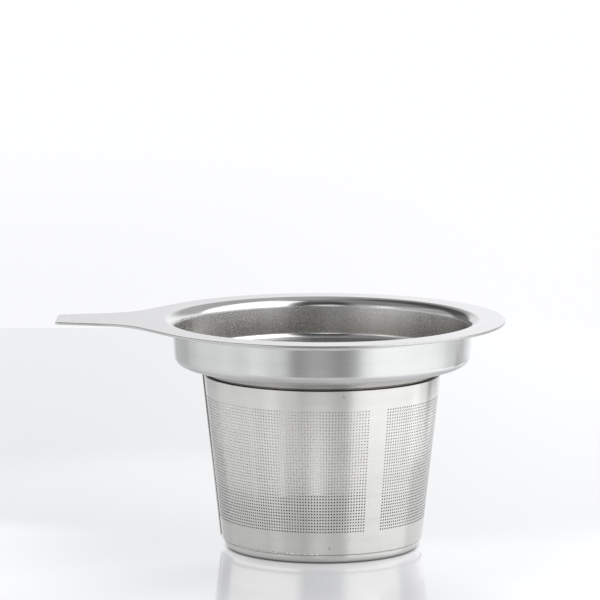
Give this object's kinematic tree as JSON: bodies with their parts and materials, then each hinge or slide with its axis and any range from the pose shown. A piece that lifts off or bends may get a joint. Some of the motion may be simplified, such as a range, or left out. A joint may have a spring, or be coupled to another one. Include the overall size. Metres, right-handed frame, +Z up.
{
  "type": "tea infuser basket",
  "caption": "Stainless steel tea infuser basket for a mug: perforated tapered wall, pressed base pan, and a drawn rim with collar, wide flange and flat integral handle.",
  "frame": {"origin": "centre of the flat base, on the basket's axis, on the surface that the infuser stands on", "axes": "+Z up along the basket's axis; the handle points along -X; -Y is the front"},
  "size_m": [0.1103, 0.09, 0.0566],
  "materials": {
    "polished_steel": "stainless steel, drawn and polished, with fine turning marks round the collar",
    "satin_steel": "stainless steel sheet, satin, smooth",
    "weld_steel": "stainless steel, dull where it was fused"
  },
  "bodies": {
    "root": {"rim_with_handle": "polished_steel", "perforated_wall": "satin_steel", "bottom_pan": "satin_steel", "neck_weld_1": "weld_steel", "neck_weld_2": "weld_steel", "neck_weld_3": "weld_steel", "base_weld_1": "weld_steel", "base_weld_2": "weld_steel", "base_weld_3": "weld_steel", "seam_weld_1": "weld_steel", "seam_weld_2": "weld_steel", "seam_weld_3": "weld_steel", "seam_weld_4": "weld_steel", "seam_weld_5": "weld_steel"}
  },
  "joints": []
}
